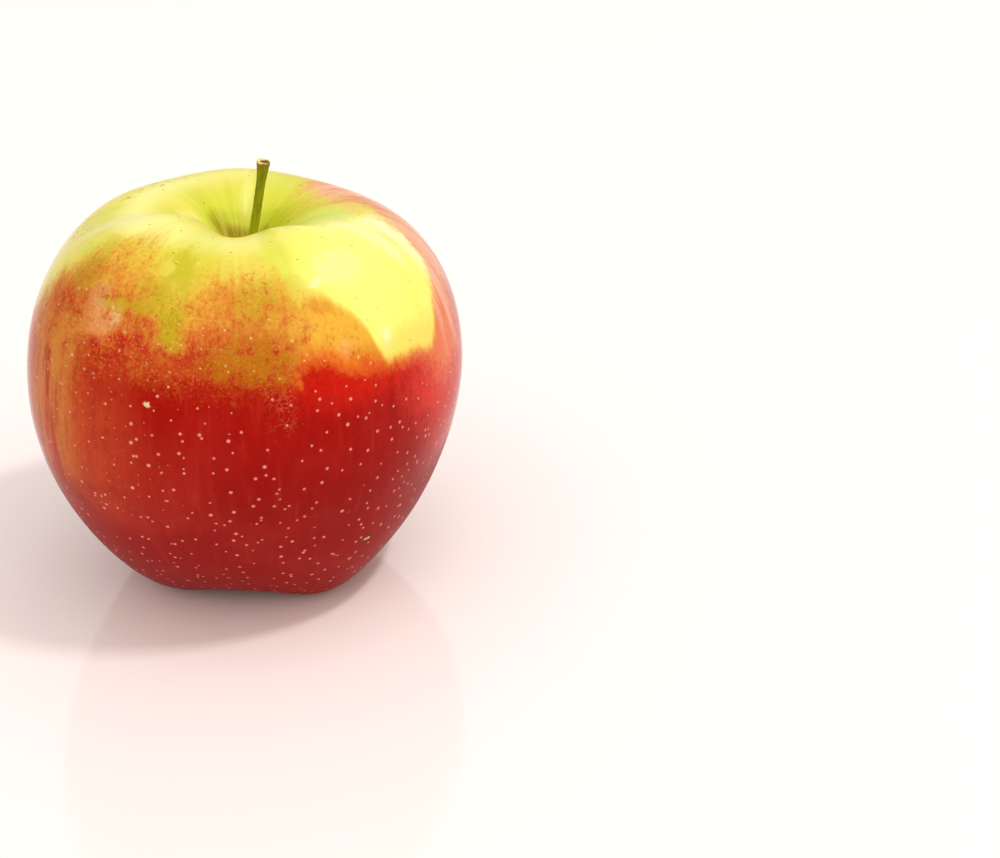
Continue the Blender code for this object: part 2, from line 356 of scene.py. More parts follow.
def make_dots_group():
    """Round dots scattered over a surface, in millimetres, with a dim ring round each."""
    inputs = {"Place": None, "Spacing": 4.0, "Radius": 0.3, "Density": 1.0}
    brush, source, sink = new_group("scattered dots", inputs, ("Dots", "Halo", "Chance"))
    cells = brush.node("ShaderNodeTexVoronoi", feature="F1")
    brush.feed(cells.inputs["Vector"], source["Place"])
    brush.feed(cells.inputs["Scale"], brush.calc("DIVIDE", 1.0, source["Spacing"]))
    facing = brush.node("ShaderNodeTexCoord").outputs["Normal"]
    away = brush.vector("SUBTRACT", cells.outputs["Position"], source["Place"])
    depth = brush.vector("DOT_PRODUCT", away, facing)
    flat = brush.vector("SUBTRACT", away, brush.vector("SCALE", facing, scale=depth))
    random = brush.parts(cells.outputs["Color"])
    girth = brush.times(source["Radius"], brush.line(random[1], 0.5, 0.75))
    near = brush.calc("DIVIDE", brush.vector("LENGTH", flat), girth)
    kept = brush.calc("LESS_THAN", random[0], source["Density"])
    brush.feed(sink["Dots"], brush.times(brush.rise(near, 1.6, 0.3), kept))
    brush.feed(sink["Halo"], brush.times(brush.rise(near, 2.6, 1.2), kept))
    brush.feed(sink["Chance"], random[2])
    return brush.tree


def make_fibres_group():
    """Fibres along one direction: Place is squeezed along them before it comes in."""
    inputs = {"Place": None, "Width": 0.3, "Contrast": 1.0}
    brush, source, sink = new_group("fibres", inputs, ("Fibres", "Blotches"))
    fine = brush.node("ShaderNodeTexNoise")
    fine.inputs["Detail"].default_value = 4.0
    fine.inputs["Roughness"].default_value = 0.65
    brush.feed(fine.inputs["Vector"], source["Place"])
    brush.feed(fine.inputs["Scale"], brush.calc("DIVIDE", 1.0, source["Width"]))
    broad = brush.node("ShaderNodeTexNoise")
    brush.feed(broad.inputs["Vector"], source["Place"])
    brush.feed(broad.inputs["Scale"], brush.calc("DIVIDE", 0.2, source["Width"]))
    half = brush.times(source["Contrast"], 0.2)
    fibres = brush.rise(fine.outputs["Fac"], brush.plus(brush.times(half, -1.0), 0.5), brush.plus(half, 0.5))
    brush.feed(sink["Fibres"], fibres)
    brush.feed(sink["Blotches"], brush.rise(broad.outputs["Fac"], 0.4, 0.65))
    return brush.tree


# The skin


COLOURS = {
    "straw": rgb(230, 216, 92),
    "wax": rgb(207, 191, 50),
    "lime": rgb(206, 208, 62),
    "leaf": rgb(172, 180, 18),
    "grass": rgb(200, 214, 38),
    "lemon": rgb(248, 246, 122),
    "cream": rgb(252, 250, 158),
    "ivory": rgb(254, 240, 182),
    "blush": rgb(246, 186, 160),
    "honey": rgb(246, 206, 90),
    "mint": rgb(200, 214, 96),
    "gold": rgb(232, 178, 58),
    "moss": rgb(180, 160, 12),
    "olive": rgb(176, 130, 16),
    "peach": rgb(238, 180, 120),
    # A pale colour used only for a painted reflection
    "painted_glint": rgb(232, 204, 136),
    "salmon": rgb(230, 118, 72),
    "mustard": rgb(178, 104, 0),
    "rust": rgb(190, 84, 20),
    "amber": rgb(220, 138, 40),
    "dusty": rgb(178, 46, 30),
    "coral": rgb(214, 92, 46),
    "scarlet": rgb(212, 28, 8),
    "cherry": rgb(220, 52, 40),
    "rose": rgb(222, 56, 48),
    "red": rgb(162, 10, 0),
    "crimson": rgb(146, 13, 8),
    "pink": rgb(240, 178, 150),
    "tan": rgb(208, 134, 58),
    "lenticel": rgb(255, 156, 140),
    "russet": rgb(142, 106, 0),
    "scab": rgb(100, 78, 14),
    "scar": rgb(228, 214, 160),
    "butter": rgb(242, 240, 156),
}

# The blush from its top edge to the solid red
BLUSH_RAMP = (
    (0.0, rgb(222, 180, 58)),
    (0.2, rgb(216, 150, 48)),
    (0.45, rgb(208, 124, 38)),
    (0.7, rgb(199, 98, 30)),
    (0.88, rgb(189, 66, 20)),
    (1.0, rgb(178, 30, 6)),
)

# Patches of colour: bearing and climb of the middle, half width in degrees, half height in
# millimetres, colour and strength. The first lie under the blush, the next over it, and the
# last over the solid red too. A few are painted highlights and a painted reflection, as marked.
GROUND_PATCHES = (
    (56, 70, 33, 20, "lemon", 1.0),
    # A pale cream glow on the lemon shoulder: a painted highlight glow
    (40, 74, 11, 3.5, "cream", 0.6),
    # A small ivory spot: a painted highlight
    (47, 57.4, 2.0, 2.4, "ivory", 0.6),
    (-15, 74, 12, 8, "wax", 0.8),
    (-16, 72, 7, 8, "moss", 0.5),
    (-50, 74.5, 8, 2.0, "lime", 0.8),
    (20, 79, 5, 10, "lime", 0.5),
    (23, 70, 5, 4, "moss", 0.35),
    (57, 54, 18, 4.5, "honey", 0.6),
    (73, 76, 8, 7, "ivory", 0.5),
    (86, 70, 7, 11, "ivory", 0.85),
    (78, 73.6, 2.2, 3.0, "lime", 0.45),
    (85, 76.6, 4.0, 0.9, "lime", 0.5),
    (93, 76, 10, 1.8, "ivory", 0.8),
    (96, 81.5, 16, 2.0, "mint", 0.7),
    (140, 80, 40, 8, "lime", 0.7),
    (105, 79.4, 7, 0.9, "peach", 0.55),
)
BLUSH_PATCHES = (
    (32, 60, 14, 7, "gold", 0.85),
    (31, 55.5, 11, 2.6, "amber", 0.7),
    (33, 57.6, 2.2, 1.8, "peach", 0.35),
    (-22, 70, 4, 5.5, "moss", 0.45),
    (8, 57.5, 13, 5.5, "mustard", 0.9),
    (11, 69.5, 7, 4.5, "moss", 0.5),
    (-18, 55, 10, 4, "rust", 0.6),
    # The peach patch and the two pale spots after it: a painted reflection of a lamp at the front left
    (-34, 63.4, 5, 3.2, "peach", 0.40),
    (-29.3, 64.4, 1.6, 1.8, "painted_glint", 0.45),
    (-36, 67.6, 4, 2.4, "painted_glint", 0.22),
    (-29, 66.9, 5.5, 1.6, "moss", 0.7),
    (-45, 71.5, 6, 4.0, "olive", 0.7),
    (-45, 77.5, 4.5, 1.8, "moss", 0.6),
    (-15.5, 68.5, 5, 6.5, "moss", 0.85),
    (-13.6, 62.6, 2.8, 3.8, "moss", 0.75),
    (-44, 58, 8, 8, "tan", 0.5),
    (116.5, 79.5, 3.0, 2.6, "tan", 0.75),
    (109, 74.8, 8, 0.9, "salmon", 0.9),
    (140, 79, 8, 2.5, "peach", 0.6),
)
RED_PATCHES = (
    (36, 52.4, 19, 6.2, "scarlet", 0.62),
    (69, 47.5, 17, 10.5, "cherry", 0.8),
    (82, 38, 22, 14, "rose", 0.6),
    (-22, 33, 16, 10, "dusty", 0.45),
)

# Places where the blush is deeper or thinner: middle and half sizes as above, and the shift
DEPTH_PATCHES = (
    (-51, 64.5, 9, 5, 0.30),
    (-36.8, 67.3, 3.0, 2.0, 0.35),
    (-20, 61.5, 8, 5, 0.18),
    (-6, 56.5, 6, 3, 0.20),
    (0, 54, 16, 2.2, 0.22),
    (-14, 56, 6, 2.6, 0.22),
    (-45, 64, 7, 4, 0.20),
    (-34, 56, 8, 3.5, 0.22),
    (-8, 63, 4, 5, 0.10),
    (-14.5, 66, 6, 8, -0.24),
    (4, 70, 8, 4, 0.10),
    (-3, 60, 7, 6, 0.12),
    (-33, 75, 12, 6, -0.06),
    (22, 60, 6, 5, -0.16),
)

# Stains in the stalk cavity, seen from above: middle and half sizes in millimetres from the
# core, colour and strength. One green band on the back wall is deepened as painted shade.
CAVITY_STAINS = (
    (5.2, 6.4, 3.4, 2.8, "leaf", 0.75),
    (8.5, 6.0, 4.5, 4.0, "leaf", 0.35),
    (-4.2, 8.6, 3.4, 3.6, "grass", 0.55),
    (-6.4, 5.0, 2.2, 2.4, "grass", 0.6),
    (0.3, 11.5, 1.3, 5.0, "cream", 0.5),
    (-8.8, 2.2, 2.5, 2.2, "cream", 0.5),
    # A darker green band on the cavity's back wall: the skin's green, partly painted shade in the hollow
    (-1.5, 6.4, 3.8, 1.8, "leaf", 0.5),
    (-4.8, 5.8, 1.7, 2.0, "russet", 0.5),
    (-0.8, 5.0, 4.6, 1.2, "russet", 0.85),
    (3.7, 5.6, 0.9, 1.0, "russet", 0.5),
    (0.0, 0.0, 5.4, 4.6, "russet", 1.0),
)

# Grains in the wash: width in millimetres, a shift that makes each layer differ, where the
# noise starts and ends to count, strength and colour
FLECKS = (
    (0.70, 11.0, 0.50, 0.68, 0.36, rgb(196, 62, 28)),
    (0.48, 23.0, 0.54, 0.70, 0.30, rgb(172, 152, 30)),
    (0.40, 37.0, 0.56, 0.72, 0.18, rgb(244, 178, 120)),
    (0.80, 51.0, 0.60, 0.74, 0.42, rgb(150, 70, 14)),
)


class Skin:
    """The fruit's skin, painted layer by layer in millimetres and degrees."""

    def __init__(self, dots):
        self.material, self.brush, self.shader = new_material("apple skin")
        self.dots = dots
        self.measure()
        self.make_grain()

    def measure(self):
        """Bearing round the core, height, reach from the core and climb up the skin."""
        brush = self.brush
        self.place = brush.place(shift=(CORE.x, CORE.y, 0.0))
        x, y, self.height = brush.parts(self.place)
        self.east, self.north = x, y
        angle = brush.calc("ARCTAN2", x, brush.times(y, -1.0))
        self.bearing = brush.times(angle, 180 / math.pi)
        self.reach = brush.vector("LENGTH", brush.join(x, y, 0.0))
        above = brush.rise(self.height, BELLY_HEIGHT - BELLY_SOFTNESS, BELLY_HEIGHT + BELLY_SOFTNESS)
        side = brush.line(above, 2, -1)
        inward = brush.times(brush.minus(BELLY_REACH, self.reach), side, INWARD_SHARE)
        self.climb = brush.plus(self.height, inward)
        east = brush.times(brush.calc("SINE", angle), BELLY_REACH)
        south = brush.times(brush.calc("COSINE", angle), BELLY_REACH)
        self.meridian = brush.join(east, south, brush.times(self.climb, MERIDIAN_SHRINK))
        self.girdle = brush.join(east, south, self.climb)
        self.ray = brush.join(east, south, brush.times(self.reach, RAY_SHRINK))

    def make_grain(self):
        brush = self.brush
        self.streaks = brush.clouds(self.meridian, 1.3, 3.0, 0.6)
        self.wide_streaks = brush.clouds(self.meridian, 4.5, 2.0, 0.5)
        self.broad = brush.clouds(self.girdle, 9.0, 3.0, 0.55)
        self.patchy = brush.clouds(self.girdle, 3.2, 3.0, 0.6)
        self.stipple = brush.clouds(self.place, 0.95, 3.0, 0.7)
        strokes = brush.join(*brush.parts(self.girdle)[:2], brush.times(self.climb, STROKE_SHRINK))
        self.dabs = brush.clouds(strokes, 0.62, 2.0, 0.6)
        self.fine = brush.clouds(self.place, 0.38, 2.0, 0.6)
        self.sway = brush.plus(
            brush.swing(self.broad, 1.6),
            brush.swing(self.patchy, 2.2),
            brush.swing(self.stipple, 1.6),
            brush.swing(self.fine, 1.6),
        )

    def patch(self, bearing, climb, half_bearing, half_climb, ragged=1.0):
        """An oval share with a ragged edge."""
        brush = self.brush
        across = brush.times(brush.minus(self.bearing, bearing), 1 / half_bearing)
        along = brush.times(brush.minus(self.climb, climb), 1 / half_climb)
        away = brush.vector("LENGTH", brush.join(across, along, 0.0))
        frayed = brush.plus(away, brush.times(self.sway, ragged * 3 / (half_climb + 2)))
        return brush.rise(frayed, 1.45, 0.45)

    def sector(self, start, full, fade, end):
        """A share of the bearings that rises from start to full and fades to the end."""
        rise = self.brush.rise
        return self.brush.times(rise(self.bearing, start, full), rise(self.bearing, end, fade))

    def tint(self, share, colour):
        if isinstance(colour, str):
            colour = COLOURS[colour]
        self.colour = self.brush.mix(share, self.colour, colour)

    def tint_patches(self, patches, *within, ragged=1.0):
        """Tint each patch of a table, within the given shares."""
        for *oval, colour, strength in patches:
            share = self.patch(*oval, ragged)
            self.tint(self.brush.times(share, strength, *within), colour)

    def paint_ground(self):
        brush = self.brush
        green = brush.times(brush.rise(self.broad, 0.42, 0.66), 0.55)
        self.colour = brush.mix(green, COLOURS["straw"], COLOURS["lime"])
        crown = brush.rise(brush.calc("ABSOLUTE", brush.minus(self.bearing, 72)), 42, 60)
        crown = brush.times(crown, brush.rise(self.climb, 78.5, 82.5), brush.rise(self.reach, 12, 19))
        west = brush.line(brush.rise(self.east, -4, -15), 0.33, 0.35)
        self.tint(brush.times(crown, west), "butter")
        self.tint_patches(GROUND_PATCHES)
        veins = brush.rise(self.wide_streaks, 0.50, 0.70)
        self.tint(brush.times(veins, self.patch(56, 68, 26, 14), 0.2), "lime")
        uneven = brush.rise(self.patchy, 0.42, 0.62)
        self.tint(brush.times(uneven, self.patch(-15, 74, 9, 7), 0.6), "straw")

    def paint_blush(self):
        """Grainy orange wash and solid red, with edges that are crisp round the lemon patch."""
        brush = self.brush
        low, high = CLIMB_SPAN
        right = brush.rise(self.bearing, 94, 66)
        crisp = brush.times(brush.rise(self.bearing, 14, 32), right)
        ragged = brush.line(crisp, -0.82, 1.0)
        crisp_red = brush.times(brush.rise(self.bearing, 15, 22), right)
        ragged_red = brush.line(crisp_red, -0.75, 1.0)
        drift = brush.plus(brush.swing(self.broad, 12.0), brush.swing(self.patchy, 9.0))
        wander = brush.plus(self.bearing, brush.times(drift, ragged))
        blush_top = brush.round_curve(wander, BLUSH_TOP, low, high)
        red_top = brush.round_curve(wander, RED_TOP, low, high)
        span = brush.minus(blush_top, red_top)
        grain = brush.plus(
            brush.swing(self.patchy, 5.0), brush.swing(self.streaks, 7.0), brush.swing(self.stipple, 5.0)
        )
        self.below_blush = brush.plus(brush.minus(blush_top, self.climb), brush.times(grain, ragged))
        speckle = brush.plus(brush.swing(self.dabs, 2.4), brush.swing(self.fine, 1.6))
        above = brush.minus(red_top, self.climb)
        self.below_red = brush.plus(above, brush.times(grain, ragged_red), speckle)

        wash = brush.rise(
            self.below_blush,
            brush.line(ragged, -4.4, -0.9),
            brush.line(ragged, 2.7, 1.6),
        )
        depth = brush.calc("DIVIDE", self.below_blush, brush.calc("MAXIMUM", span, 3.0))
        dab = brush.plus(
            brush.swing(self.dabs, 0.6),
            brush.swing(self.fine, 0.4),
            brush.swing(self.patchy, 1.3),
            brush.swing(self.broad, 0.5),
            brush.swing(self.streaks, 0.3),
        )
        spread = brush.line(brush.rise(depth, 0.0, 0.6), 0.9, 0.25)
        depth = brush.plus(depth, brush.times(dab, spread, ragged))
        for *oval, shift in DEPTH_PATCHES:
            depth = brush.plus(depth, brush.times(self.patch(*oval), shift))
        self.tint(wash, brush.ramp(depth, BLUSH_RAMP))
        self.tint_patches(BLUSH_PATCHES, wash, brush.rise(dab, 0.35, 0.0), ragged=0.8)
        pale = brush.times(brush.rise(self.fine, 0.52, 0.70), wash, brush.rise(self.below_red, 2.0, -6.0))
        self.tint(brush.times(pale, 0.12), rgb(246, 200, 130))

        start = brush.line(ragged_red, -2.4, -1.8)
        end = brush.line(ragged_red, 1.4, 1.8)
        red = brush.rise(self.below_red, start, end)
        deep = brush.rise(self.climb, 50, 26)
        self.tint(red, brush.mix(deep, COLOURS["red"], COLOURS["crimson"]))
        self.red_share = red
        self.tint_patches(RED_PATCHES, red)
        fringe = brush.times(brush.rise(self.below_red, -4.5, -1.0), brush.rise(self.below_red, 2.2, -0.4))
        warmth = brush.mix(brush.rise(self.bearing, 46, 58), rgb(228, 100, 32), rgb(244, 122, 76))
        self.tint(brush.times(fringe, crisp_red, wash, 0.6), warmth)
        self.wash = wash
        grainy = brush.times(wash, brush.rise(self.below_red, 5.0, -3.0))
        grainy = brush.times(grainy, brush.line(ragged, 0.75, 0.25))
        self.paint_flecks(brush.times(grainy, brush.line(self.patchy, 1.2, 0.3)))

    def paint_flecks(self, share):
        """Fine grains of red, green and pale pink in the wash."""
        brush = self.brush
        for size, shift, low, high, strength, colour in FLECKS:
            place = brush.vector("ADD", self.place, (shift, shift, shift))
            grains = brush.clouds(place, size, 1.0, 0.5)
            self.tint(brush.times(share, brush.rise(grains, low, high), strength), colour)

    def paint_flanks(self):
        """A coral and tan left flank and a pink bloom on the right shoulder."""
        brush = self.brush
        warm = self.sector(-120, -90, -36, -16)
        warm = brush.times(warm, brush.line(brush.rise(self.broad, 0.3, 0.6), 0.5, 0.5))
        self.tint(brush.times(warm, self.red_share, brush.rise(self.climb, 14, 46), 0.6), "coral")
        band = self.sector(-64, -50, -45, -34)
        band = brush.times(band, brush.rise(self.climb, 27, 46), brush.rise(self.climb, 66, 52))
        band = brush.times(band, brush.rise(brush.plus(self.streaks, self.wide_streaks), 0.75, 1.1))
        self.tint(brush.times(band, 0.9), "tan")
        far_left = self.sector(-150, -120, -64, -50)
        far_left = brush.times(far_left, brush.rise(self.climb, 16, 34), brush.rise(self.streaks, 0.3, 0.6))
        self.tint(brush.times(far_left, self.red_share, 0.35), "tan")
        self.tint(brush.times(self.patch(78, 51, 14, 9), self.wash, 0.85), "salmon")
        bloom = self.sector(70, 96, 130, 165)
        bloom = brush.times(bloom, brush.rise(self.climb, 44, 66), brush.rise(self.below_blush, -1.0, 1.5))
        bloom = brush.times(bloom, brush.line(self.patch(112, 78, 9, 4), -0.8, 1.0))
        self.tint(brush.times(bloom, brush.rise(self.wide_streaks, 0.25, 0.55), 0.8), "pink")
        side = brush.times(brush.calc("MAXIMUM", bloom, self.patch(84, 56, 9, 11)), self.wash)
        marks = brush.rise(brush.clouds(self.meridian, 2.6, 2.0, 0.5), 0.46, 0.62)
        self.tint(brush.times(side, marks, 0.65), "coral")
        pale = brush.rise(brush.clouds(self.meridian, 3.6, 2.0, 0.5), 0.48, 0.62)
        self.tint(brush.times(side, pale, 0.55), "blush")

    def paint_streaks(self):
        """Fine brush marks from stalk to eye, light and dark, and a dusty bloom."""
        brush = self.brush
        pale = brush.times(brush.rise(self.streaks, 0.50, 0.80), self.red_share, 0.12)
        self.tint(pale, rgb(226, 84, 50))
        dark = brush.times(brush.rise(self.streaks, 0.50, 0.26), self.red_share, 0.22)
        self.tint(dark, rgb(128, 8, 6))
        mottle = brush.times(brush.rise(self.stipple, 0.44, 0.66), self.red_share, 0.20)
        self.tint(mottle, rgb(136, 8, 6))
        dusty = brush.times(brush.rise(self.broad, 0.45, 0.7), self.red_share, 0.07)
        self.tint(dusty, rgb(212, 70, 56))

    def stain(self, x, y, half_x, half_y):
        """A soft oval share seen from above, in millimetres from the core."""
        brush = self.brush
        across = brush.times(brush.minus(self.east, x), 1 / half_x)
        along = brush.times(brush.minus(self.north, y), 1 / half_y)
        away = brush.vector("LENGTH", brush.join(across, along, 0.0))
        return brush.times(brush.rise(away, 1.4, 0.3), brush.rise(self.height, 50, 56))

    def paint_cavity(self):
        """Green rays down the stalk cavity and brown russet round the stalk's foot."""
        brush = self.brush
        rays = brush.clouds(self.ray, 11.0, 2.0, 0.5)
        fine_rays = brush.clouds(self.ray, 3.6, 2.0, 0.5)
        hairs = brush.clouds(self.ray, 3.0, 2.0, 0.5)
        both = brush.plus(brush.times(rays, 0.7), brush.times(fine_rays, 0.3))
        inside = brush.times(brush.rise(self.height, 50, 56), brush.rise(self.reach, 19, 9))
        self.tint(brush.times(inside, brush.rise(both, 0.36, 0.62), 0.35), "leaf")
        for *oval, colour, strength in CAVITY_STAINS:
            streaky = brush.line(brush.rise(hairs, 0.30, 0.62), 0.55, 0.45)
            self.tint(brush.times(self.stain(*oval), streaky, strength), colour)
        self.inside = inside
        basin = brush.times(brush.rise(self.height, 16, 8), brush.rise(self.reach, 11, 4))
        self.tint(brush.times(basin, brush.rise(fine_rays, 0.25, 0.65), 0.7), rgb(168, 120, 50))

    def paint_marks(self):
        """Lenticels, specks, a crackled spot, a scar and scab freckles."""
        brush = self.brush
        under = brush.rise(self.below_blush, 3.0, 9.0)
        girth = brush.line(brush.rise(self.climb, 54, 42), 0.08, 0.17)
        large = brush.group(self.dots, Place=self.place, Spacing=4.4, Radius=girth, Density=0.8)
        low = brush.rise(self.climb, 44, 12)
        crowd = brush.line(low, 0.45, 0.24)
        many = brush.group(self.dots, Place=self.place, Spacing=3.8, Radius=0.23, Density=crowd)
        dust = brush.times(brush.rise(self.bearing, 0, -40), brush.rise(self.climb, 20, 40), 0.55)
        tiny = brush.group(self.dots, Place=self.place, Spacing=1.9, Radius=0.13, Density=dust)
        self.spots = brush.times(brush.calc("MAXIMUM", large["Dots"], many["Dots"]), under)
        halo = brush.times(brush.calc("MAXIMUM", large["Halo"], many["Halo"]), under, 0.22)
        self.tint(brush.times(halo, self.red_share), rgb(120, 14, 8))
        self.tint(brush.times(tiny["Dots"], under, 0.4), "lenticel")
        bright = brush.line(large["Chance"], 0.3, 0.65)
        dot = brush.mix(self.red_share, rgb(244, 206, 130), COLOURS["lenticel"])
        bright = brush.times(bright, brush.line(self.red_share, 0.35, 0.65))
        self.tint(brush.times(self.spots, bright), dot)
        big = brush.times(self.patch(-18.2, 48.8, 0.75, 0.5), 0.85)
        self.tint(big, COLOURS["scar"])

        specks = brush.group(self.dots, Place=self.place, Spacing=5.0, Radius=0.16, Density=0.5)
        bare = brush.rise(self.below_blush, 2.0, -4.0)
        self.tint(brush.times(specks["Dots"], bare, 0.75), "scab")

        cells = brush.node("ShaderNodeTexVoronoi", feature="DISTANCE_TO_EDGE")
        jitter = brush.swing(self.dabs, 1.6)
        shaken = brush.vector("ADD", self.place, brush.join(jitter, self.fine, jitter))
        brush.feed(cells.inputs["Vector"], shaken)
        cells.inputs["Scale"].default_value = 1.0
        cracks = brush.rise(cells.outputs["Distance"], 0.09, 0.02)
        cracks = brush.times(cracks, self.patch(14, 47.8, 4.0, 4.5))
        self.tint(brush.times(cracks, brush.rise(self.patchy, 0.42, 0.6), 0.45), rgb(220, 108, 78))

        self.tint(brush.times(self.patch(43.0, 13.4, 1.9, 0.9), 0.6), rgb(90, 40, 20))
        self.scar = self.patch(43.0, 13.5, 1.1, 0.35)
        self.tint(self.scar, "scar")

        freckles = brush.group(self.dots, Place=self.place, Spacing=1.7, Radius=0.36, Density=0.45)
        shoulder = brush.calc("MAXIMUM", self.patch(-88, 73.5, 14, 3.5), self.patch(-128, 79.8, 34, 1.8))
        shoulder = brush.times(shoulder, brush.rise(self.patchy, 0.44, 0.58))
        self.tint(brush.times(freckles["Dots"], shoulder, 0.9), "scab")
        self.tint(brush.times(shoulder, brush.rise(self.fine, 0.48, 0.66), 0.7), "russet")

    def finish(self):
        brush = self.brush
        brush.feed(self.shader["Base Color"], self.colour)
        roughness = brush.plus(
            0.07,
            brush.times(self.fine, 0.04),
            brush.times(self.streaks, 0.04),
            brush.times(self.inside, 0.3),
            brush.times(brush.rise(self.height, 34, 20), 0.3),
        )
        brush.feed(self.shader["Roughness"], roughness)
        self.shader["Specular IOR Level"].default_value = 0.06
        relief = brush.plus(
            brush.times(self.patchy, 0.35), brush.times(self.fine, 0.12), brush.times(self.spots, 0.3)
        )
        brush.bump(relief, 0.12, self.shader["Normal"])


def paint_skin(dots):
    """Lemon shoulder, orange mottle and crimson base, with lenticels and russet."""
    skin = Skin(dots)
    skin.paint_ground()
    skin.paint_blush()
    skin.paint_flanks()
    skin.paint_streaks()
    skin.paint_cavity()
    skin.paint_marks()
    skin.finish()
    return skin.material


def paint_stalk(fibres):
    """Olive wood with fibres along it, a pale broken rim and a brown middle."""
    material, brush, shader = new_material("stalk wood")
    x, y, height = brush.parts(brush.place(shift=STALK_FOOT, stretch=(1.0, 1.0, 0.08)))
    along = brush.join(brush.minus(x, brush.times(height, STALK_LEAN / 0.08)), y, height)
    grain = brush.group(fibres, Place=along, Width=0.35)
    colour = brush.mix(grain["Fibres"], rgb(114, 118, 0), rgb(152, 154, 2))
    colour = brush.mix(brush.times(grain["Blotches"], 0.25), colour, rgb(116, 104, 12))
    colour = brush.mix(brush.rise(height, 1.5, 0.6), colour, rgb(180, 184, 8))
    tip = brush.place(shift=STALK_FOOT + STALK_LINE[-1])
    x, y, height = brush.parts(tip)
    reach = brush.vector("LENGTH", brush.join(x, y, 0.0))
    chips = brush.times(brush.minus(brush.clouds(tip, 0.5), 0.5), 0.9)
    collar = brush.rise(brush.plus(height, chips), -2.4, -0.9)
    colour = brush.mix(brush.times(collar, 0.5), colour, rgb(126, 104, 22))
    cut = brush.rise(brush.plus(height, brush.times(chips, 0.3)), -0.36, -0.16)
    colour = brush.mix(cut, colour, rgb(246, 226, 150))
    pith = brush.times(brush.rise(brush.plus(reach, chips), 0.80, 0.55), brush.rise(height, -0.9, -0.5))
    colour = brush.mix(pith, colour, rgb(120, 66, 22))
    brush.feed(shader["Base Color"], colour)
    shader["Roughness"].default_value = 0.5
    shader["Specular IOR Level"].default_value = 0.2
    brush.bump(grain["Fibres"], 0.05, shader["Normal"])
    return material


def paint_dry(fibres, name, dark, pale, felted):
    """Dry brown tissue with fibres along it; where it is felted, with pale furry edges."""
    material, brush, shader = new_material(name)
    place = brush.place(shift=(CORE.x, CORE.y, 0.0), stretch=(1.0, 1.0, 0.4))
    grain = brush.group(fibres, Place=place, Width=0.35)
    share = brush.plus(brush.times(grain["Fibres"], 0.6), brush.times(grain["Blotches"], 0.4))
    colour = brush.mix(share, dark, pale)
    if felted:
        x, y, height = brush.parts(place)
        bearing = brush.times(brush.calc("ARCTAN2", x, brush.times(y, -1.0)), 180 / math.pi)
        aside = brush.calc("PINGPONG", brush.minus(bearing, SEPAL_FIRST_BEARING), 36.0)
        reach = brush.vector("LENGTH", brush.join(x, y, 0.0))
        across = brush.times(reach, brush.calc("SINE", brush.times(aside, math.pi / 180)))
        furry = brush.plus(across, brush.times(brush.minus(brush.clouds(place, 0.3), 0.5), 1.2))
        colour = brush.mix(brush.times(brush.rise(furry, 0.35, 1.1), 0.75), colour, rgb(196, 184, 150))
    brush.feed(shader["Base Color"], colour)
    shader["Roughness"].default_value = 0.85
    brush.bump(grain["Fibres"], 0.08, shader["Normal"])
    return material


# Pieces


def deselect_all():
    for thing in bpy.context.view_layer.objects:
        thing.select_set(False)


def take(piece):
    """Select one piece alone and make it the active one."""
    deselect_all()
    piece.select_set(True)
    bpy.context.view_layer.objects.active = piece


def copy_of_node(node, name):
    """A merged copy of a CAD node's mesh, as an object of its own, made active."""
    source = frame["nodes"][node]
    piece = bpy.data.objects.new(name, source.data.copy())
    bpy.context.scene.collection.objects.link(piece)
    piece.data.materials.clear()
    take(piece)
    bpy.ops.object.mode_set(mode="EDIT")
    bpy.ops.mesh.select_all(action="SELECT")
    bpy.ops.mesh.remove_doubles(threshold=1e-6)
    bpy.ops.mesh.tris_convert_to_quads(face_threshold=math.radians(60), shape_threshold=math.radians(70))
    bpy.ops.object.mode_set(mode="OBJECT")
    return piece


def subdivide_surface(piece, levels):
    modifier = piece.modifiers.new("smooth", "SUBSURF")
    modifier.levels = levels
    modifier.render_levels = levels
    bpy.context.view_layer.objects.active = piece
    bpy.ops.object.modifier_apply(modifier=modifier.name)
    bpy.ops.object.shade_smooth()


def finish_piece(piece, material, node):
    """Give a piece its material and its body, and let it take a solid's place."""
    piece.data.materials.append(material)
    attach(piece, "root")
    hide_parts(node)


def make_skin(material):
    piece = copy_of_node("fruit", "fruit_skin")
    subdivide_surface(piece, 2)
    finish_piece(piece, material, "fruit")


def name_new(name):
    """Name the primitive just added, and put its place and turn in its mesh."""
    piece = bpy.context.object
    piece.name = name
    piece.data.name = name
    bpy.ops.object.transform_apply(location=True, rotation=True, scale=True)
    return piece


def pick(piece, chosen):
    """Go to edit mode with just the points selected that pass the test, and what they span."""
    take(piece)
    bpy.ops.object.mode_set(mode="EDIT")
    bpy.ops.mesh.select_mode(type="VERT")
    bpy.ops.mesh.select_all(action="DESELECT")
    bpy.ops.object.mode_set(mode="OBJECT")
    for vertex in piece.data.vertices:
        vertex.select = chosen(vertex.co)
    bpy.ops.object.mode_set(mode="EDIT")


def extrude(step):
    bpy.ops.mesh.extrude_region_move(TRANSFORM_OT_translate={"value": step})


def resize(factors, centre):
    bpy.ops.transform.resize(value=factors, center_override=centre)


def turn(angle, axis, centre):
    """Turn what is selected. With no window the operator turns the other way round."""
    bpy.ops.transform.rotate(value=-angle, orient_axis=axis, center_override=centre)


def close_mesh():
    """Merge doubles, point the faces outwards and leave edit mode."""
    bpy.ops.mesh.select_all(action="SELECT")
    bpy.ops.mesh.remove_doubles(threshold=1e-6)
    bpy.ops.mesh.normals_make_consistent(inside=False)
    bpy.ops.object.mode_set(mode="OBJECT")


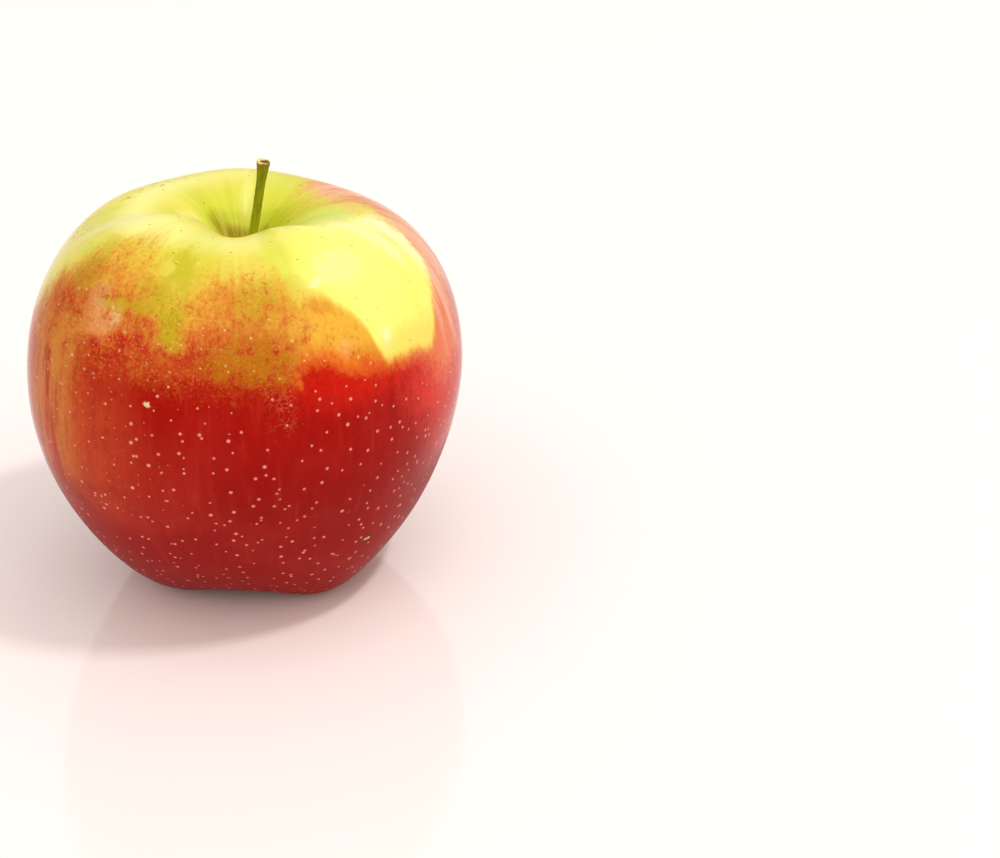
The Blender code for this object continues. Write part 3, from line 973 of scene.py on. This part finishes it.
def apply_modifier(piece, kind, **settings):
    modifier = piece.modifiers.new(kind.lower(), kind)
    for name, value in settings.items():
        setattr(modifier, name, value)
    bpy.context.view_layer.objects.active = piece
    bpy.ops.object.modifier_apply(modifier=modifier.name)


def roughen(piece, grain, depth):
    """Shift the surface in and out by a cloudy pattern; both sizes in metres."""
    clouds = bpy.data.textures.new(piece.name, "CLOUDS")
    clouds.noise_scale = grain
    apply_modifier(piece, "DISPLACE", texture=clouds, texture_coords="LOCAL", strength=depth)


def stalk_radius(share):
    """The stalk is thick at its foot, slim along its length and flared at its tip."""
    near_foot = max(1 - share / STALK_FOOT_SHARE, 0.0)
    near_tip = max(1 - (1 - share) / STALK_TIP_SHARE, 0.0)
    swell = (STALK_FOOT_RADIUS - STALK_RADIUS) * near_foot**1.5
    return STALK_RADIUS + swell + (STALK_TIP_RADIUS - STALK_RADIUS) * near_tip**1.5


def make_stalk(material):
    """A grooved stalk, extruded ring by ring to a flared tip that broke off the tree."""
    deselect_all()
    line = [STALK_FOOT + point for point in interpolate_bezier(*STALK_LINE, STALK_RINGS + 1)]
    lean = math.atan2(line[1].x - line[0].x, line[1].z - line[0].z)
    bpy.ops.mesh.primitive_circle_add(
        vertices=STALK_SIDES,
        radius=stalk_radius(0.0),
        fill_type="NGON",
        location=line[0],
        rotation=(0.0, lean, 0.0),
    )
    piece = name_new("stalk_wood")
    grooves = [vertex.co.copy() for vertex in piece.data.vertices][::4]
    pick(piece, lambda co: co in grooves)
    resize((STALK_GROOVE, STALK_GROOVE, 1.0), line[0])
    bpy.ops.mesh.select_all(action="SELECT")
    for ring in range(1, STALK_RINGS + 1):
        extrude(line[ring] - line[ring - 1])
        grow = stalk_radius(ring / STALK_RINGS) / stalk_radius((ring - 1) / STALK_RINGS)
        resize((grow, grow, grow), line[ring])
    bpy.ops.transform.vertex_random(offset=0.10 * MM, seed=5)
    bpy.ops.mesh.inset(thickness=0.16 * MM)
    bpy.ops.transform.vertex_random(offset=0.06 * MM, seed=8)
    bpy.ops.mesh.inset(thickness=0.14 * MM)
    bpy.ops.transform.translate(value=(0.0, 0.0, -0.40 * MM))
    bpy.ops.mesh.inset(thickness=0.30 * MM)
    bpy.ops.transform.translate(value=(0.0, 0.0, 0.22 * MM))
    bpy.ops.transform.vertex_random(offset=0.12 * MM, seed=2)
    bpy.ops.mesh.poke()
    close_mesh()
    subdivide_surface(piece, 2)
    roughen(piece, 0.9 * MM, 0.10 * MM)
    finish_piece(piece, material, "stalk")


def make_cup(material):
    """The eye's dry cup: a drum rooted in the flesh, with a bore sunk from below."""
    deselect_all()
    radius = (CUP_HIGH.x - CUP_LOW.x) / 2
    height = CUP_HIGH.z + ROOT_DEPTH - CUP_LOW.z
    middle = CORE + Vector((0.0, 0.0, ROOT_DEPTH / 2))
    bpy.ops.mesh.primitive_cylinder_add(vertices=40, radius=radius, depth=height, location=middle)
    piece = name_new("eye_cup")
    pick(piece, lambda co: co.z < middle.z)
    bpy.ops.mesh.inset(thickness=CUP_WALL / 2)
    bpy.ops.transform.translate(value=(0.0, 0.0, -0.1 * MM))
    bpy.ops.mesh.inset(thickness=CUP_WALL / 2)
    extrude((0.0, 0.0, height - CUP_ROOF))
    resize((0.85, 0.85, 1.0), CORE)
    close_mesh()
    apply_modifier(piece, "BEVEL", width=0.15 * MM, segments=2)
    subdivide_surface(piece, 1)
    roughen(piece, 0.7 * MM, 0.16 * MM)
    finish_piece(piece, material, "calyx_cup")


def sepal_width(share):
    """A sepal narrows quickly from its root to its waist, then slowly to its tip."""
    if share < 0.5:
        wide = 1 - math.sin(math.pi * share)
        return SEPAL_WAIST_WIDTH + (SEPAL_ROOT_WIDTH - SEPAL_WAIST_WIDTH) * wide
    slim = (2 * share - 1) ** 1.6
    return SEPAL_WAIST_WIDTH + (SEPAL_TIP_WIDTH - SEPAL_WAIST_WIDTH) * slim


def model_sepal():
    """One sepal on the +X side: it hangs down, folds in over the eye and turns out again."""
    deselect_all()
    core = Vector((CORE.x, CORE.y, 0.0))
    line = [core + point for point in interpolate_bezier(*SEPAL_LINE, SEPAL_STEPS + 1)]
    bpy.ops.mesh.primitive_grid_add(
        x_subdivisions=1,
        y_subdivisions=6,
        size=SEPAL_ROOT_WIDTH,
        location=line[0],
        rotation=(0.0, math.pi / 2, 0.0),
    )
    piece = name_new("eye_sepal_5")
    pick(piece, lambda co: True)
    resize((1.0, 1.0, 0.1), line[0])
    pick(piece, lambda co: abs(co.y - core.y) < 0.4 * SEPAL_ROOT_WIDTH)
    bpy.ops.transform.translate(value=(SEPAL_CUPPING * 0.6, 0.0, 0.0))
    pick(piece, lambda co: abs(co.y - core.y) < 0.2 * SEPAL_ROOT_WIDTH)
    bpy.ops.transform.translate(value=(SEPAL_CUPPING * 0.4, 0.0, 0.0))
    pick(piece, lambda co: co.z < line[0].z)
    slope = 0.0
    for step in range(1, SEPAL_STEPS + 1):
        along = line[step] - line[step - 1]
        extrude(along)
        narrow = sepal_width(step / SEPAL_STEPS) / sepal_width((step - 1) / SEPAL_STEPS)
        resize((narrow, narrow, narrow), line[step])
        new_slope = math.atan2(-along.x, -along.z)
        turn(new_slope - slope, "Y", line[step])
        slope = new_slope
    bpy.ops.object.mode_set(mode="OBJECT")
    return piece


def make_sepals(material):
    """Five dry sepals round the eye, copied from one, each with its tip its own way."""
    first = model_sepal()
    for number, shift in enumerate(SEPAL_TIP_SHIFTS, start=1):
        piece = first
        if number < len(SEPAL_TIP_SHIFTS):
            take(first)
            bpy.ops.object.duplicate()
            piece = bpy.context.object
        piece.name = f"eye_sepal_{number}"
        piece.data.name = piece.name
        tip = min((vertex.co for vertex in piece.data.vertices), key=lambda co: co.z).copy()
        pick(piece, lambda co: (co - tip).length < 0.6 * MM)
        bpy.ops.transform.translate(
            value=(shift, 0.4 * shift, 0.0),
            use_proportional_edit=True,
            proportional_edit_falloff="SMOOTH",
            proportional_size=2.6 * MM,
        )
        bpy.ops.mesh.select_all(action="SELECT")
        bearing = SEPAL_FIRST_BEARING + 72 * (number - 1)
        turn(math.radians(bearing - 90), "Z", CORE)
        bpy.ops.transform.vertex_random(offset=0.12 * MM, seed=number)
        bpy.ops.object.mode_set(mode="OBJECT")
        apply_modifier(piece, "SOLIDIFY", thickness=SEPAL_THICKNESS, offset=0.0)
        subdivide_surface(piece, 2)
        roughen(piece, 0.6 * MM, 0.14 * MM)
        finish_piece(piece, material, f"sepal_{number}")


def make_stamens(material):
    """A tuft of dry threads with small heads, on a disc in the cup's bore."""
    deselect_all()
    low, high = (Vector(corner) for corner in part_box("stamen_tuft"))
    root = Vector((CORE.x, CORE.y, high.z))
    bpy.ops.mesh.primitive_circle_add(vertices=6, radius=STAMEN_RADIUS, fill_type="NGON", location=root)
    thread = name_new("eye_stamens")
    pick(thread, lambda co: True)
    centre = root.copy()
    for step in STAMEN_STEPS:
        extrude((0.0, 0.0, -step))
        centre.z -= step
        resize((0.85, 0.85, 1.0), centre)
    for factor in (1.9, 1.0, 0.5):
        extrude((0.0, 0.0, -STAMEN_HEAD / 3))
        resize((factor, factor, 1.0), centre)
    close_mesh()
    subdivide_surface(thread, 1)
    for number in range(STAMEN_COUNT):
        share = math.sqrt((number + 0.5) / STAMEN_COUNT)
        bearing = number * GOLDEN_ANGLE
        take(thread)
        if number + 1 < STAMEN_COUNT:
            bpy.ops.object.duplicate()
        out = Vector((math.cos(bearing), math.sin(bearing), 0.0)) * share * 0.72 * STAMEN_DISC_RADIUS
        copy = bpy.context.object
        pick(copy, lambda co: True)
        turn(math.radians(22) * share, "Y", root)
        turn(-bearing, "Z", root)
        bpy.ops.transform.translate(value=out)
        bpy.ops.object.mode_set(mode="OBJECT")
    deselect_all()
    bpy.ops.mesh.primitive_cylinder_add(
        vertices=24, radius=STAMEN_DISC_RADIUS, depth=0.6 * MM + ROOT_DEPTH, location=root
    )
    disc = name_new("eye_disc")
    apply_modifier(disc, "BEVEL", width=0.2 * MM, segments=2)
    for thing in bpy.context.view_layer.objects:
        thing.select_set(thing.name.startswith(("eye_stamens", "eye_disc")))
    bpy.context.view_layer.objects.active = thread
    bpy.ops.object.join()
    thread.name = "eye_stamens"
    bpy.ops.object.shade_smooth()
    finish_piece(thread, material, "stamen_tuft")


# The studio


def add_table():
    """A white glossy table, wide enough to fill the view."""
    bpy.ops.mesh.primitive_plane_add(size=6.0, location=(0, 0, 0))
    table = bpy.context.object
    table.name = "table"
    material, brush, shader = new_material("white table")
    shader["Base Color"].default_value = rgb(255, 242, 236)
    shader["Roughness"].default_value = 0.09
    table.data.materials.append(material)


def add_lamp(name, direction, sizes, power):
    light = bpy.data.lights.new(name, "AREA")
    light.shape = "RECTANGLE"
    light.size, light.size_y = sizes
    light.energy = power
    lamp = bpy.data.objects.new(name, light)
    bpy.context.scene.collection.objects.link(lamp)
    lamp.location = LAMP_TARGET + Vector(direction).normalized() * LAMP_DISTANCE
    lamp.rotation_euler = Vector(direction).to_track_quat("Z", "Y").to_euler()


def light_studio():
    """A sky bright overhead, in front and low at the back, and lamps mainly at the right."""
    world = bpy.data.worlds.new("studio")
    bpy.context.scene.world = world
    world.use_nodes = True
    brush = Brush(world.node_tree)
    ahead, up = brush.parts(brush.node("ShaderNodeTexCoord").outputs["Generated"])[1:]
    background = world.node_tree.nodes["Background"].inputs
    sky = brush.line(brush.rise(up, 0.0, 0.9), SKY_TOP - SKY_EDGE, SKY_EDGE)
    glow = brush.times(brush.rise(ahead, 0.3, 1.0), brush.rise(up, 0.75, 0.25))
    sky = brush.plus(
        sky, brush.times(brush.rise(ahead, 0.2, -1.0), SKY_FRONT), brush.times(glow, SKY_BACK)
    )
    brush.feed(background["Strength"], sky)
    brush.feed(background["Color"], brush.mix(brush.rise(up, 0.0, 0.55), HORIZON, (1.0, 1.0, 1.0, 1.0)))
    for name, direction, sizes, power in LAMPS:
        add_lamp(name, direction, sizes, power)


def set_camera():
    lens = bpy.data.cameras.new("camera")
    lens.lens = CAMERA_FOCAL
    lens.sensor_width = CAMERA_SENSOR
    lens.sensor_fit = "HORIZONTAL"
    lens.clip_start = 0.01
    camera = bpy.data.objects.new("camera", lens)
    bpy.context.scene.collection.objects.link(camera)
    camera.location = CAMERA_PLACE
    camera.rotation_euler = (math.radians(90 - CAMERA_PITCH), 0, 0)
    bpy.context.scene.camera = camera


def build_scene():
    bpy.context.scene.view_settings.view_transform = "Standard"
    set_camera()
    light_studio()
    add_table()
    fibres = make_fibres_group()
    make_skin(paint_skin(make_dots_group()))
    make_stalk(paint_stalk(fibres))
    dry_calyx = paint_dry(fibres, "dry calyx", rgb(70, 48, 26), rgb(150, 120, 78), True)
    make_cup(dry_calyx)
    make_sepals(dry_calyx)
    make_stamens(paint_dry(fibres, "dry stamens", rgb(40, 26, 14), rgb(110, 82, 50), False))


build_scene()
